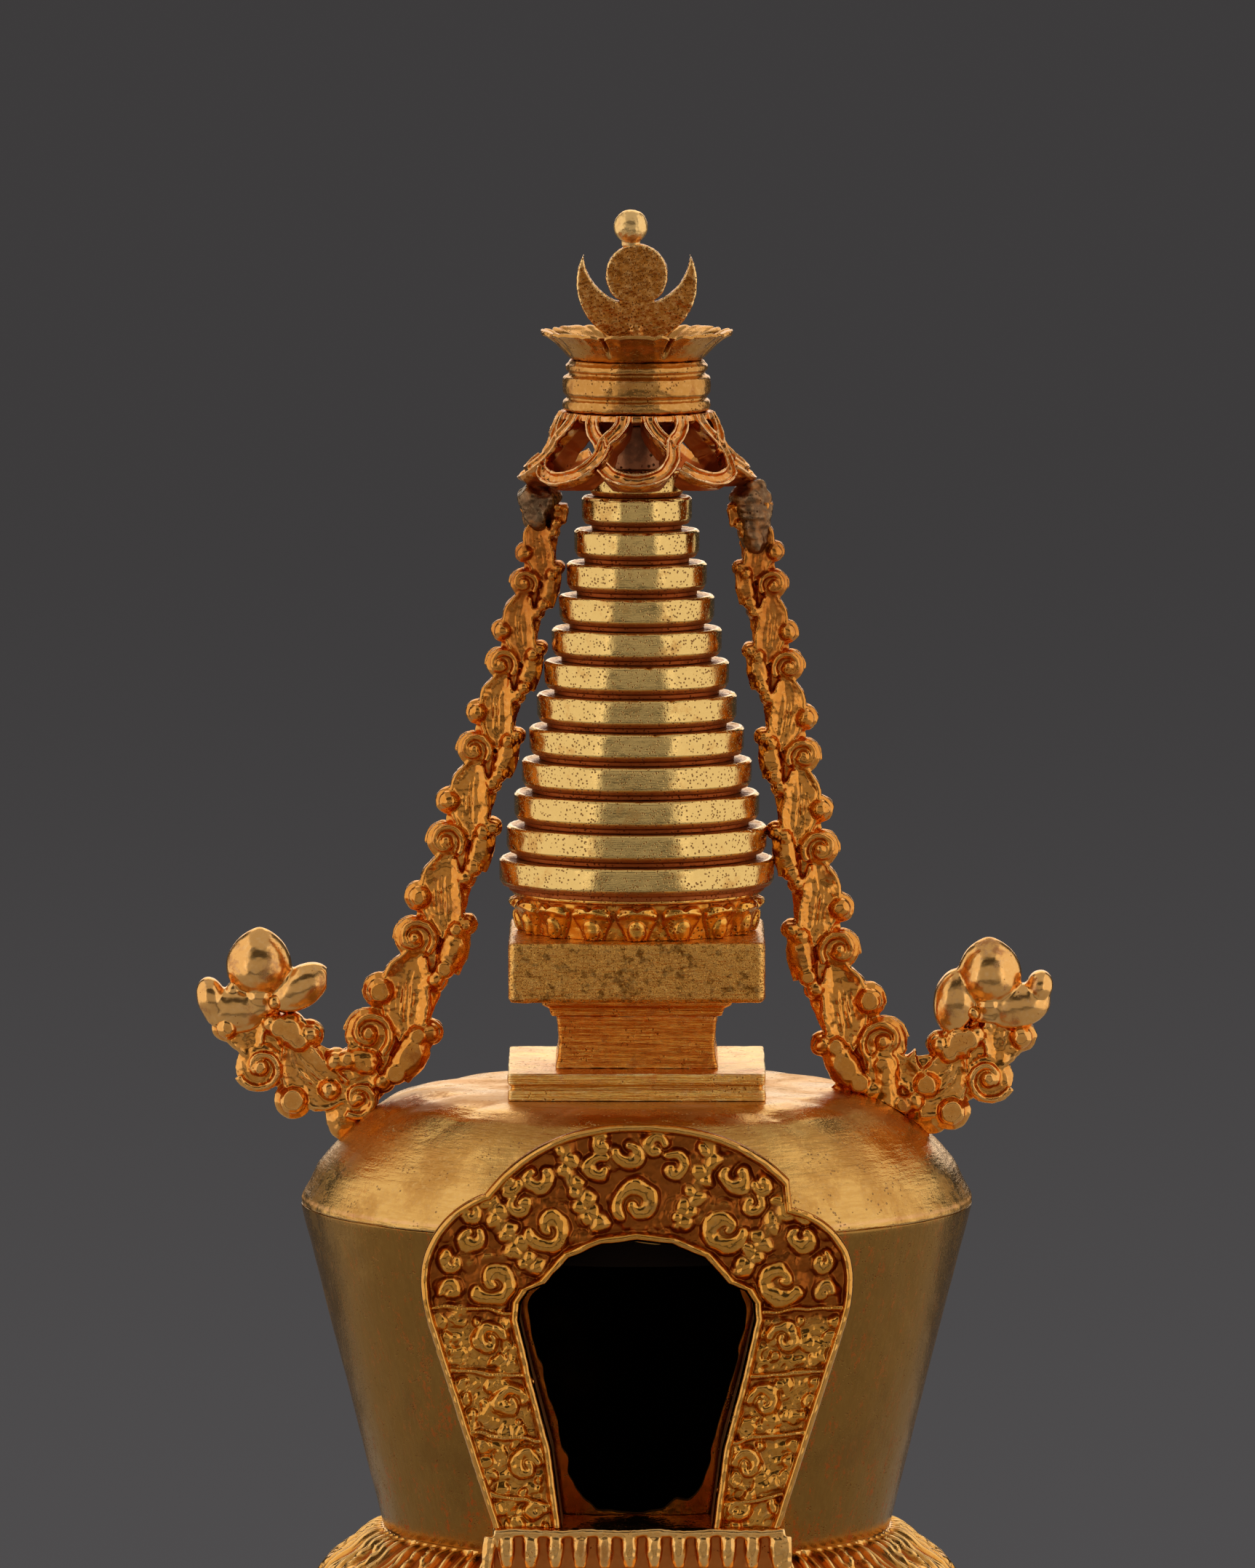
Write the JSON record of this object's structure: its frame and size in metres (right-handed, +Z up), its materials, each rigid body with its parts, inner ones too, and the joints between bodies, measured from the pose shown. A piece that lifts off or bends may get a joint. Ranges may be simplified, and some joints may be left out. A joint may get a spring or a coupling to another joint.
{
  "type": "reliquary monstrance in stupa form",
  "caption": "Gilt reliquary in stupa form: square stepped throne, round chamber with arched niche, lift-off lid with ringed spire, side ribbons, parasol and sun-and-moon finial.",
  "frame": {"origin": "centre of the underside of the square foot, on the surface that it stands on", "axes": "+Z up the spire, -Y out of the front of the niche, +X to the viewer's right"},
  "size_m": [0.088, 0.088, 0.1599],
  "materials": {
    "lemon_gilt": "bright gilt, pitted",
    "olive_gilt": "satin gilt, dulled",
    "dark_gilt": "worn gilt, dark in the recesses",
    "red_gilt": "thin gilt over copper",
    "bare_copper": "bare, oxidised",
    "grey_solder": "dull grey lumps"
  },
  "bodies": {
    "base": {"base_plate": "bare_copper", "base_lotus": "dark_gilt", "throne_plinth": "dark_gilt", "throne_dado": "olive_gilt", "throne_cornice": "dark_gilt", "throne_step_1": "dark_gilt", "throne_step_2": "dark_gilt", "throne_step_3": "dark_gilt", "throne_step_4": "dark_gilt", "dome_lotus": "red_gilt", "dome_drum": "olive_gilt", "niche_frame": "dark_gilt", "niche_porch": "red_gilt", "niche_sill": "dark_gilt"},
    "lid": {"dome_shoulder": "lemon_gilt", "harmika_plinth": "red_gilt", "harmika_neck": "red_gilt", "harmika_moulding": "red_gilt", "harmika_block": "dark_gilt", "spire_lotus": "red_gilt", "spire_ring_01": "lemon_gilt", "spire_ring_02": "lemon_gilt", "spire_ring_03": "lemon_gilt", "spire_ring_04": "lemon_gilt", "spire_ring_05": "lemon_gilt", "spire_ring_06": "lemon_gilt", "spire_ring_07": "lemon_gilt", "spire_ring_08": "lemon_gilt", "spire_ring_09": "lemon_gilt", "spire_ring_10": "lemon_gilt", "spire_ring_11": "lemon_gilt", "spire_ring_12": "lemon_gilt", "spire_ring_13": "lemon_gilt", "spire_neck": "red_gilt", "spire_rod": "bare_copper", "rod_key": "bare_copper", "parasol_skirt": "red_gilt", "parasol_band": "dark_gilt", "crown_lotus": "olive_gilt", "left_ribbon": "red_gilt", "right_ribbon": "red_gilt", "left_flower": "dark_gilt", "right_flower": "dark_gilt", "left_solder": "grey_solder", "right_solder": "grey_solder"},
    "finial": {"finial_sun_moon": "red_gilt", "finial_jewel": "olive_gilt"}
  },
  "joints": [
    {"name": "lid_lift", "type": "slide", "parent": "base", "child": "lid", "axis": [0, 0, 1], "range_m": [0, 0.03]},
    {"name": "finial_lift", "type": "slide", "parent": "lid", "child": "finial", "axis": [0, 0, 1], "range_m": [0, 0.01]}
  ]
}
